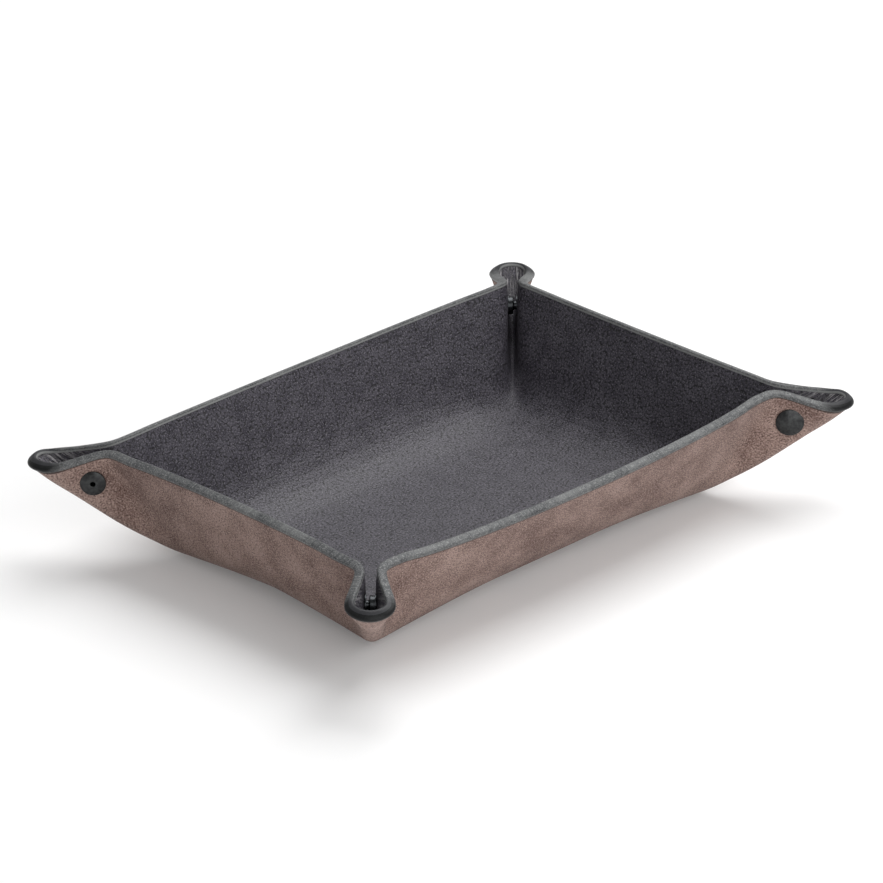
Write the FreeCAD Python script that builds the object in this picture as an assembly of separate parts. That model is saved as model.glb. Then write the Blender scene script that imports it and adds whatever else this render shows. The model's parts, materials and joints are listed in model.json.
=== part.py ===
"""Valet tray of folded leather, held up at its four corners by press-studs.

One rectangular sheet, a brown outer leather and a black lining bonded together, is
pinched at each corner into a fin that points outwards along the diagonal. A
press-stud holds the two halves of each fin together: the cap and socket sit in the
half that joins the long wall, the stud and its back in the half that joins the short
wall. When a stud is pulled open, the two halves spread apart, so each half is a flap
that swings on its own hinge line beside the ridge under the fin.

Millimetres. X runs along the long walls, Y along the short walls, Z up. The origin is
the middle of the underside, on the surface that the tray stands on.

Words used for places on the flat sheet: p and q count from the two base bends
outwards, the ridge is the diagonal p = q under a fin, and aside counts from it.
"""
import FreeCAD
import Part
import math
import os

Vector = FreeCAD.Vector
Flat = FreeCAD.Base.Vector2d

# Sheet, measured flat
base_length = 210.0         # between the bends of the two short walls
base_width = 123.5          # between the bends of the two long walls
wall_height = 54.3          # from a bend to the rim, along the leather
corner_round = 12.0         # radius of the sheet's corners
outer_thick = 1.8           # brown leather
lining_thick = 1.8          # black leather
glue_line = 0.1             # between the two leathers

# Walls
wall_lean = 67.5            # degrees, walls above the table at the corners
long_wall_sag = 5.9         # degrees that a long wall leans out more in its middle
short_wall_sag = -2.2       # degrees that a short wall leans out more in its middle
sag_power = 0.65            # how evenly that lean spreads along a wall
base_bend = 44.7            # reach of the soft bend between base and wall

# Fins
fin_half_gap = 3.83         # from the fin's middle plane to the middle of its leather
fin_bend = 5.0              # reach of the bend along the ridge
neck_bend = 8.75            # reach of the bend between wall and fin
bend_start = -52.0          # along the diagonal, where the bends begin to tighten
bend_end = 34.0             # along the diagonal, where they are at their tightest
ridge_zone = 8.0            # distance from the ridge over which the neck's bend takes over
ear_half_gap = 10.6         # fin half gap at the widest place of the ear
ear_depth = 28.8            # from the unrounded corner back to where the fin opens into the ear
ear_end = 5.0               # from the unrounded corner back to the widest place of the ear
ear_lift = 0.59             # upward curl of the ear, 10 mm past its start
ear_lift_depth = 22.3       # from the unrounded corner back to where the curl starts

# Flaps
hinge_offset = 5.8          # from the ridge to the hinge line of a flap, on the flat
flap_start = 26.0           # along the ridge, where a flap begins
neck_margin = 4.6           # from the fold of the neck to the slit along it
hinge_slit = 0.3            # half the slit along the hinge line and across the heel
neck_slit = 0.7             # half the slit along the neck, which a flap swings into

# Press-studs, one at each corner
stud_from_neck = 1.44       # from the slit along the neck to the edge of the cap, on the flat
stud_from_hinge = 0.15      # from the hinge line to the edge of the cap, on the flat
seat_depth = 0.15           # how far the metal is pressed into the leather
cap_radius = 6.25
cap_rise = 2.3              # top of the dome
cap_rim = 0.9               # height of the cap's edge
cap_edge = 0.35             # rounding of that edge
cap_post = 1.5              # radius of the post that goes through the leather
back_radius = 5.6
back_rise = 1.6             # top of the back's shallow dome
back_rim = 0.9              # height of its edge
back_lip = 0.35             # rounding round its hole
back_tube = 1.5             # radius of the back's tube
back_bore = 1.05            # radius of the hole through the back
flange_radius = 4.9         # socket and stud flanges on the lining
sheet_metal = 0.45          # wall of the socket and stud
rivet_spread = 0.5          # how far a riveted end spreads
rivet_height = 0.3
socket_radius = 4.1         # cup of the socket
socket_share = 0.6          # height of that cup, as a share of the room between the linings
socket_mouth = 2.8          # radius of its mouth
stud_head = 2.3             # radius of the stud's head
stud_neck = 2.0             # radius below the head
stud_share = 0.575          # height of the stud, as a share of that room
stud_crown = 0.9            # height of the head, from where it is widest
ring_wire = 0.22            # radius of the ring spring's wire
ring_gap = 50.0             # degrees open in the ring spring
metal_fit = 0.05            # between metal pieces pressed together
leather_fit = 0.1           # between metal and leather

# Derived
half_length = base_length / 2
half_width = base_width / 2
sheet_thick = outer_thick + lining_thick
lean = math.radians(wall_lean)
ridge_angle = math.atan(math.tan(lean) / math.sqrt(2)) - (math.pi / 4 - math.atan(math.cos(lean)))
neck_slope = math.tan(lean / 2) ** 2                # of the neck, seen from the ridge on the flat
ridge_length = wall_height * math.sqrt(2)           # to where the rims would meet
round_centre = (wall_height - corner_round) * math.sqrt(2)
plate_radius = max(cap_radius, back_radius)
stud_aside = hinge_offset + stud_from_hinge + plate_radius                      # from the ridge
stud_clear = (plate_radius + stud_from_neck) * math.hypot(1, neck_slope)        # from there to the neck's slit
fine_step = 3.4                                     # between stations where the sheet bends most

CORNERS = {"rear_right": (1, 1), "rear_left": (-1, 1), "front_left": (-1, -1), "front_right": (1, -1)}
SIDES = {"long": 1, "short": -1}                    # which side of the ridge a flap is on


def ease(x):
    """Smooth step from 0 to 1."""
    x = min(max(x, 0.0), 1.0)
    return x * x * (3 - 2 * x)


def round_brush(rings=5, spokes=12):
    """Offsets and weights over a disc of unit radius, heaviest in its middle."""
    touches = [(0.0, 0.0, 1.0)]
    for ring in range(1, rings + 1):
        radius = ring / (rings + 0.5)
        weight = (1 - radius ** 2) ** 2 * 6 * ring / spokes
        for spoke in range(spokes):
            turn = 2 * math.pi * (spoke + 0.5 * (ring % 2)) / spokes
            touches.append((radius * math.cos(turn), radius * math.sin(turn), weight))
    total = sum(touch[2] for touch in touches)
    return [(x, y, weight / total) for x, y, weight in touches]


BRUSH = round_brush()


def fin_point(p, q):
    """Distance along the diagonal, distance from its plane and height, for a point of a fin."""
    r = (p + q) / math.sqrt(2)
    aside = abs(q - p) / math.sqrt(2)
    opening = ease((r - ridge_length + ear_depth) / (ear_depth - ear_end))
    gap = fin_half_gap + (ear_half_gap - fin_half_gap) * opening
    turn = min(aside / gap, math.pi / 2)
    away = gap * math.sin(turn)
    up = gap * (1 - math.cos(turn)) + max(0.0, aside - gap * math.pi / 2)
    drop = 2 - math.pi / 2
    cos = math.cos(ridge_angle)
    sin = math.sin(ridge_angle)
    along = r * cos - up * sin + fin_half_gap * (cos + drop * sin - 1)
    height = r * sin + up * cos + fin_half_gap * (sin - drop * cos)
    return along, away, height + ear_lift * max(0.0, r - ridge_length + ear_lift_depth) ** 2 / 100


def sharp_fold(u, v):
    """Place of a flat point on a sheet folded into plates with sharp bends."""
    side_u = math.copysign(1, u)
    side_v = math.copysign(1, v)
    u = abs(u)
    v = abs(v)
    p = u - half_length
    q = v - half_width
    if p <= 0 and q <= 0:
        return u * side_u, v * side_v, 0.0
    on_short_wall = p > q
    if on_short_wall:
        rise, along, sag, middle = p, q, short_wall_sag, v / half_width
    else:
        rise, along, sag, middle = q, p, long_wall_sag, u / half_length
    tilt = lean - math.radians(sag) * (1 - min(middle, 1.0) ** 2) ** sag_power
    out = rise * math.cos(tilt)
    up = rise * math.sin(tilt)
    if along > rise * math.cos(lean) - math.sqrt(2) * fin_half_gap and p + q > 0:
        diagonal, away, up = fin_point(p, q)
        along = (diagonal - away) / math.sqrt(2)
        out = (diagonal + away) / math.sqrt(2)
    x, y = (out, along) if on_short_wall else (along, out)
    return (x + half_length) * side_u, (y + half_width) * side_v, up


def bend_reach(u, v):
    """How far around a flat point its bends are softened."""
    p = abs(u) - half_length
    q = abs(v) - half_width
    r = (p + q) / math.sqrt(2)
    aside = abs(q - p) / math.sqrt(2)
    tight = ease((r - bend_start) / (bend_end - bend_start))
    neck = 1 - math.exp(-(aside / ridge_zone) ** 2)
    return base_bend * (1 - tight) + (fin_bend + (neck_bend - fin_bend) * neck) * tight


def fold(u, v):
    """Place of a flat point, in the middle of the leather's thickness, on the soft folded sheet."""
    reach = bend_reach(u, v)
    x = y = 0.0
    z = sheet_thick / 2
    for du, dv, weight in BRUSH:
        place = sharp_fold(u + reach * du, v + reach * dv)
        x += weight * place[0]
        y += weight * place[1]
        z += weight * place[2]
    return Vector(x, y, z)


def on_sheet(r, aside, side_u=1, side_v=1):
    """Flat point at a place along the ridge of one corner and aside from it, towards the long wall."""
    p = (r - aside) / math.sqrt(2)
    q = (r + aside) / math.sqrt(2)
    return side_u * (half_length + p), side_v * (half_width + q)


def through(lattice, us, vs):
    """Smooth surface through a lattice of points, with its own coordinates us and vs."""
    rows = []
    for j in range(len(vs)):
        row = Part.BSplineCurve()
        row.interpolate(Points=[points[j] for points in lattice], Parameters=us)
        rows.append(row)
    row_poles = [row.getPoles() for row in rows]
    poles = []
    for i in range(len(row_poles[0])):
        column = Part.BSplineCurve()
        column.interpolate(Points=[points[i] for points in row_poles], Parameters=vs)
        poles.append(column.getPoles())
    surface = Part.BSplineSurface()
    surface.buildFromPolesMultsKnots(poles, rows[0].getMultiplicities(), column.getMultiplicities(),
                                     rows[0].getKnots(), column.getKnots(), False, False, 3, 3)
    return surface


def level(middle, us, vs, height):
    """Surface at a height above the middle one, along its normals."""
    lattice = [[middle.value(u, v) + middle.normal(u, v) * height for v in vs] for u in us]
    return through(lattice, us, vs)


def stations(*spans):
    """Rising values over spans of (start, end, largest step)."""
    values = [spans[0][0]]
    for start, end, step in spans:
        count = max(1, math.ceil((end - start) / step))
        values += [start + (end - start) * (i + 1) / count for i in range(count)]
    return values


def line(a, b):
    """Straight edge of an outline."""
    return Part.Geom2d.Line2dSegment(Flat(*a), Flat(*b))


def arc(centre, a, b):
    """Round edge of an outline about a centre, the short way from a to b."""
    start = math.atan2(a[1] - centre[1], a[0] - centre[0])
    end = math.atan2(b[1] - centre[1], b[0] - centre[0])
    sweep = (end - start + math.pi) % (2 * math.pi) - math.pi
    if sweep < 0:
        start, sweep = end, -sweep
    circle = Part.Geom2d.Circle2d(Flat(*centre), math.dist(centre, a))
    return Part.Geom2d.ArcOfCircle2d(circle, start, start + sweep)


def neck_edge(r, slit):
    """How far aside the slit along the neck is, or one edge of it."""
    seam = r * neck_slope + 2 * fin_half_gap / (1 + math.cos(lean))
    return seam + (slit - neck_margin) * math.hypot(1, neck_slope)


def stud_along():
    """How far along the ridge the stud is, between the hinge line and the neck."""
    return (stud_aside + stud_clear - neck_edge(0.0, -neck_slit)) / neck_slope


def rim_meets_neck(slit):
    """Place along the ridge where that slit, or one edge of it, reaches the rim."""
    return (ridge_length - neck_edge(0, slit)) / (1 + neck_slope)


def round_at(aside):
    """Place along the ridge where the rounded corner is that far aside."""
    return round_centre + math.sqrt(corner_round ** 2 - aside ** 2)


def flap_outline():
    """Outline of a flap, as places along the ridge and aside from it."""
    heel_at = flap_start + hinge_slit
    hinge = hinge_offset + hinge_slit
    rim_at = rim_meets_neck(-neck_slit)
    round_aside = corner_round / math.sqrt(2)
    heel = (heel_at, hinge)
    toe = (round_at(hinge), hinge)
    round_end = (ridge_length - round_aside, round_aside)
    shoulder = (rim_at, ridge_length - rim_at)
    armpit = (heel_at, neck_edge(heel_at, -neck_slit))
    return [line(heel, toe), arc((round_centre, 0.0), toe, round_end), line(round_end, shoulder),
            line(shoulder, armpit), line(armpit, heel)]


def sheet_outline():
    """Outline of the sheet without its flaps, in flat coordinates."""
    heel_at = flap_start - hinge_slit
    hinge = hinge_offset - hinge_slit
    rim_at = rim_meets_neck(neck_slit)
    notch = [(rim_at, ridge_length - rim_at), (heel_at, neck_edge(heel_at, neck_slit)),
             (heel_at, hinge), (round_at(hinge), hinge)]
    corners = []
    for side_u, side_v in CORNERS.values():
        places = notch + [(r, -aside) for r, aside in reversed(notch)]
        if side_u * side_v > 0:
            places.reverse()
        corners.append([on_sheet(r, aside, side_u, side_v) for r, aside in places])
    edges = []
    tip = len(notch) - 1
    for path, next_path, sides in zip(corners, corners[1:] + corners[:1], CORNERS.values()):
        centre = on_sheet(round_centre, 0.0, *sides)
        for k, (a, b) in enumerate(zip(path, path[1:])):
            edges.append(arc(centre, a, b) if k == tip else line(a, b))
        edges.append(line(path[-1], next_path[0]))
    return edges


def slab(lower, upper, outline, flat=None):
    """Solid between two surfaces, inside one outline in their coordinates.

    The lower surface is level inside the second outline, which becomes a face of its own.
    """
    bottom = Part.Wire([edge.toShape(lower) for edge in outline])
    top = Part.Wire([edge.toShape(upper) for edge in outline])
    sides = [Part.makeRuledSurface(a, b) for a, b in zip(bottom.Edges, top.Edges)]
    faces = [Part.Face(lower, bottom), Part.Face(upper, top)]
    if flat:
        border = Part.Wire([edge.toShape(lower) for edge in flat])
        faces[0].cutHoles([border.reversed()])
        faces.append(Part.Face(Part.Plane(), border))
    solid = Part.Solid(Part.Shell(faces + sides))
    if solid.Volume < 0:
        solid.reverse()
    return solid


def levelled(surface):
    """Surface with its lowest stretch made exactly level at height 0."""
    nearly = 0.02
    for i, row in enumerate(surface.getPoles()):
        for j, pole in enumerate(row):
            if abs(pole.z) < nearly:
                surface.setPole(i + 1, j + 1, Vector(pole.x, pole.y, 0))
    return surface


def leathers(middle, us, vs, outline, inwards, flat=None):
    """Outer leather and lining about a middle surface; inwards is 1 where its normals point in."""
    outside = -sheet_thick / 2
    bond = outside + outer_thick
    heights = (outside, bond - glue_line / 2, bond + glue_line / 2, sheet_thick / 2)
    faces = [level(middle, us, vs, inwards * height) for height in heights]
    if flat:
        levelled(faces[0])
    return slab(faces[0], faces[1], outline, flat), slab(faces[2], faces[3], outline)


def sheet():
    """Outer leather and lining of the whole sheet without its flaps."""
    beyond = 2.0
    before = 9.0
    flat_u = half_length - base_bend
    flat_v = half_width - base_bend
    u_half = stations((0, flat_u, 25.0), (flat_u, half_length - before, 9.0),
                      (half_length - before, half_length + wall_height + beyond, fine_step))
    v_half = stations((0, flat_v, 9.0), (flat_v, half_width - before, 9.0),
                      (half_width - before, half_width + wall_height + beyond, fine_step))
    quarter = [[fold(u, v) for v in v_half] for u in u_half]
    us = [-u for u in reversed(u_half[1:])] + u_half
    vs = [-v for v in reversed(v_half[1:])] + v_half
    lattice = []
    for i, u in enumerate(us):
        places = quarter[abs(i - len(u_half) + 1)]
        row = [places[abs(j - len(v_half) + 1)] for j in range(len(vs))]
        lattice.append([Vector(math.copysign(point.x, u), math.copysign(point.y, v), point.z)
                        for point, v in zip(row, vs)])
    corners = [(-flat_u, -flat_v), (flat_u, -flat_v), (flat_u, flat_v), (-flat_u, flat_v)]
    standing = [line(a, b) for a, b in zip(corners, corners[1:] + corners[:1])]
    return leathers(through(lattice, us, vs), us, vs, sheet_outline(), 1, standing)


def flap_middle(side):
    """Middle surface of a flap of the rear right corner, with its stations."""
    beyond = 3.0
    curved = hinge_offset + 6.0
    rs = stations((flap_start - beyond, round_centre + corner_round + beyond, fine_step))
    asides = stations((hinge_offset - beyond, curved, 2.2),
                      (curved, ridge_length - rim_meets_neck(0) + beyond, fine_step))
    lattice = [[fold(*on_sheet(r, side * aside)) for aside in asides] for r in rs]
    return through(lattice, rs, asides), rs, asides


def revolved(points, base, axis):
    """Turned solid with a closed outline of (radius, height, bulge), on a base point, along an axis.

    The outline runs clockwise, and a bulge rounds the edge that leads to its point.
    """
    edges = []
    for start, end in zip(points[-1:] + points[:-1], points):
        a = Vector(start[0], 0, start[1])
        b = Vector(end[0], 0, end[1])
        if len(end) > 2:
            left = Vector(a.z - b.z, 0, b.x - a.x).normalize()
            edges.append(Part.Arc(a, (a + b) / 2 + left * end[2], b).toShape())
        else:
            edges.append(Part.LineSegment(a, b).toShape())
    solid = Part.Face(Part.Wire(edges)).revolve(Vector(), Vector(0, 0, 1), 360)
    solid.Placement = FreeCAD.Placement(base, FreeCAD.Rotation(Vector(0, 0, 1), axis))
    return solid


def quarter_bulge(radius):
    """Bulge of a quarter round."""
    return radius * (1 - math.cos(math.pi / 4))


def dome_bulge(radius, height):
    """Bulge of a dome that is level on its axis."""
    ball = (radius ** 2 + height ** 2) / (2 * height)
    return ball * (1 - math.cos(math.asin(radius / ball) / 2))


def cap(base, axis):
    """Domed cap with its post, seen on the outside of the long wall's flap."""
    shoulder = cap_radius - cap_edge
    end = seat_depth * 2 - sheet_thick - sheet_metal - metal_fit
    foot = cap_post + rivet_spread
    return revolved([(0, end - rivet_height), (0, cap_rise),
                     (shoulder, cap_rim, dome_bulge(shoulder, cap_rise - cap_rim)),
                     (cap_radius, cap_rim - cap_edge, quarter_bulge(cap_edge)), (cap_radius, cap_edge),
                     (shoulder, 0, quarter_bulge(cap_edge)), (cap_post, 0), (cap_post, end), (foot, end),
                     (foot, end - rivet_height)], base, axis)


def back(base, axis, stud_rise):
    """Shallow domed back with a hole and its tube, seen on the outside of the short wall's flap."""
    end = seat_depth * 2 - sheet_thick - stud_rise - metal_fit
    foot = back_tube + rivet_spread
    mouth = back_bore + back_lip
    shoulder = back_radius - cap_edge
    return revolved([(back_bore, end - rivet_height), (back_bore, back_rise - back_lip),
                     (mouth, back_rise, quarter_bulge(back_lip)),
                     (shoulder, back_rim, dome_bulge(shoulder - mouth, back_rise - back_rim)),
                     (back_radius, back_rim - cap_edge, quarter_bulge(cap_edge)), (back_radius, cap_edge),
                     (shoulder, 0, quarter_bulge(cap_edge)), (back_tube, 0), (back_tube, end), (foot, end),
                     (foot, end - rivet_height)], base, axis)


def socket(base, axis, socket_depth):
    """Socket on the lining of the long wall's flap, which the stud snaps into."""
    hole = cap_post + metal_fit
    inside = socket_radius - sheet_metal
    return revolved([(hole, 0), (hole, sheet_metal), (inside, sheet_metal), (inside, socket_depth - sheet_metal),
                     (socket_mouth, socket_depth - sheet_metal), (socket_mouth, socket_depth),
                     (socket_radius - sheet_metal, socket_depth),
                     (socket_radius, socket_depth - sheet_metal, quarter_bulge(sheet_metal)),
                     (socket_radius, sheet_metal), (flange_radius, sheet_metal), (flange_radius, 0)], base, axis)


def ring_spring(base, axis, socket_depth):
    """Open wire ring inside the socket's mouth, which grips the stud's neck."""
    radius = socket_mouth + ring_wire / 2
    height = socket_depth - sheet_metal - ring_wire - metal_fit
    ring = Part.makeTorus(radius, ring_wire, Vector(0, 0, height), Vector(0, 0, 1), -180, 180, 360 - ring_gap)
    ring.Placement = FreeCAD.Placement(base, FreeCAD.Rotation(Vector(0, 0, 1), axis))
    return ring


def stud(base, axis, stud_rise):
    """Stud on the lining of the short wall's flap."""
    hole = back_tube + metal_fit
    widest = stud_rise - stud_crown
    taper = stud_head - stud_neck
    return revolved([(hole, 0), (hole, stud_rise), (stud_neck, stud_rise), (stud_head, widest, stud_crown / 6),
                     (stud_neck, widest - taper), (stud_neck, sheet_metal), (flange_radius, sheet_metal),
                     (flange_radius, 0)], base, axis)


def hinge_line(side):
    """Two points on the hinge line of a flap of the rear right corner, on its brown face."""
    middle, rs, asides = flap_middle(side)
    outside = level(middle, rs, asides, -side * sheet_thick / 2)
    return outside.value(flap_start, hinge_offset), outside.value(round_at(hinge_offset), hinge_offset)


def corner_pieces():
    """Flaps and press-stud of the rear right corner, by name."""
    pieces = {}
    snap = [fold(*on_sheet(stud_along(), side * stud_aside)) for side in SIDES.values()]
    heart = (snap[0] + snap[1]) / 2
    half_gap = (snap[0] - heart).Length
    face_in = half_gap - sheet_thick / 2 + seat_depth
    face_out = half_gap + sheet_thick / 2 - seat_depth
    socket_depth = 2 * face_in * socket_share
    stud_rise = 2 * face_in * stud_share
    for name, side in SIDES.items():
        out = (snap[0] - heart).normalize() * side
        middle, rs, asides = flap_middle(side)
        outer, lining = leathers(middle, rs, asides, flap_outline(), side)
        post = (cap_post if side > 0 else back_tube) + leather_fit
        plate = (cap_radius if side > 0 else back_radius) + leather_fit
        hole = Part.makeCylinder(post, 2 * face_out, heart, out)
        seat_out = Part.makeCylinder(plate, sheet_thick, heart + out * face_out, out)
        seat_in = Part.makeCylinder(flange_radius + leather_fit, face_in, heart, out)
        pieces[name + "_flap_outer"] = outer.cut(hole).cut(seat_out)
        pieces[name + "_flap_lining"] = lining.cut(hole).cut(seat_in)
    long_side = (snap[0] - heart).normalize()
    pieces["cap"] = cap(heart + long_side * face_out, long_side)
    pieces["socket"] = socket(heart + long_side * face_in, -long_side, socket_depth)
    pieces["ring_spring"] = ring_spring(heart + long_side * face_in, -long_side, socket_depth)
    pieces["stud"] = stud(heart - long_side * face_in, long_side, stud_rise)
    pieces["back"] = back(heart - long_side * face_out, -long_side, stud_rise)
    return pieces


def mirrored(shape, side_u, side_v):
    """Copy of a piece of the rear right corner for another corner."""
    if side_u < 0:
        shape = shape.mirror(Vector(), Vector(1, 0, 0))
    if side_v < 0:
        shape = shape.mirror(Vector(), Vector(0, 1, 0))
    return shape


def main():
    """Build every piece and write its STEP file."""
    os.makedirs("parts", exist_ok=True)
    nodes = {}
    nodes["outer_leather"], nodes["lining"] = sheet()
    for piece_name, piece in corner_pieces().items():
        for corner_name, sides in CORNERS.items():
            nodes[corner_name + "_" + piece_name] = mirrored(piece, *sides)
    for name, shape in nodes.items():
        shape.exportStep("parts/" + name + ".step")
        print(name, "valid" if shape.isValid() else "BROKEN", round(shape.Volume, 2))
    for name, side in SIDES.items():
        print(name, "hinge line", *hinge_line(side))
    sizes = 2 * (half_length + wall_height), 2 * (half_width + wall_height)
    print("flat sheet", *sizes, "area", sizes[0] * sizes[1] - (4 - math.pi) * corner_round ** 2)


main()
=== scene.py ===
"""A valet tray: one sheet of two-layer leather, folded up at four corners and held by press-studs.

Sizes are in metres and angles in radians. The tray stands on z = 0 with its length along x.
"""

import json
import logging
import math
from dataclasses import dataclass, field
from enum import Enum

import bmesh
import bpy
import numpy as np
from mathutils import Matrix, Vector


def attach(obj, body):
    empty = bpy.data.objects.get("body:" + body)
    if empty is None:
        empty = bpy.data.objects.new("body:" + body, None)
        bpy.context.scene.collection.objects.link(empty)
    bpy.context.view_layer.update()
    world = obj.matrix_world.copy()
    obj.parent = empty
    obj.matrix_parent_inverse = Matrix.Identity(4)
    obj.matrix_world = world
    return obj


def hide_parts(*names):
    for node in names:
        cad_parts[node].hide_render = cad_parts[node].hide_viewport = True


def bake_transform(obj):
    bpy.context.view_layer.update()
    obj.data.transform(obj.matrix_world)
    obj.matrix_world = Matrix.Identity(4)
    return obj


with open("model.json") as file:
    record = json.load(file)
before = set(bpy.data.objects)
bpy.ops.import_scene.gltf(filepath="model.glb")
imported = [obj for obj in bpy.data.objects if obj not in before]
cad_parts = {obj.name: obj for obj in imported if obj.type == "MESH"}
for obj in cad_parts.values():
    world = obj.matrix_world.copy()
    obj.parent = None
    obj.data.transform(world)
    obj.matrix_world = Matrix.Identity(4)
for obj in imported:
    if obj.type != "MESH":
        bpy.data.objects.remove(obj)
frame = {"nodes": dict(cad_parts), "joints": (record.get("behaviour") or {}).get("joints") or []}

LOG = logging.getLogger("valet_tray")
MM = 0.001


class Choice(Enum):
    """A choice whose name is part of its pieces' names."""

    @property
    def title(self) -> str:
        """The choice's name as the pieces' names hold it."""
        return self.name.lower()


class Corner(Choice):
    """The tray's four corners, each with the signs of its x and y."""

    REAR_RIGHT = (1, 1)
    REAR_LEFT = (-1, 1)
    FRONT_LEFT = (-1, -1)
    FRONT_RIGHT = (1, -1)


class Wall(Choice):
    """The two walls that meet in a corner, each with the sign of its side of the fold line."""

    LONG = 1
    SHORT = -1


class Share(Choice):
    """The two parts of a flap: the one with the stud, and the ear past it."""

    FLAP = "flap"
    EAR = "ear"


class Layer(Choice):
    """The two bonded layers of leather, each with the sign of its face's side of the sheet."""

    BROWN = -1
    BLACK = 1


# Where a part of the sheet belongs: a share of a flap, or None for the main piece.
Owner = tuple[Corner, Wall, Share] | None


def smooth_step(value: np.ndarray) -> np.ndarray:
    """Ease from 0 to 1 as value goes from 0 to 1, and stay flat outside that."""
    held = np.clip(value, 0, 1)
    return held * held * (3 - 2 * held)


def unit(vectors: np.ndarray) -> np.ndarray:
    """Scale each row to length 1."""
    return vectors / np.maximum(np.linalg.norm(vectors, axis=-1, keepdims=True), 1e-12)


def colour(code: str) -> tuple[float, float, float, float]:
    """Turn an sRGB hex colour into the linear one that shaders take.

    Args:
        code: Six hex digits, red first.

    Returns:
        Linear red, green and blue, and an alpha of 1.
    """
    parts = [int(code[i:i + 2], 16) / 255 for i in (0, 2, 4)]
    linear = [c / 12.92 if c <= 0.04045 else ((c + 0.055) / 1.055) ** 2.4 for c in parts]
    return (*linear, 1.0)


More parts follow.
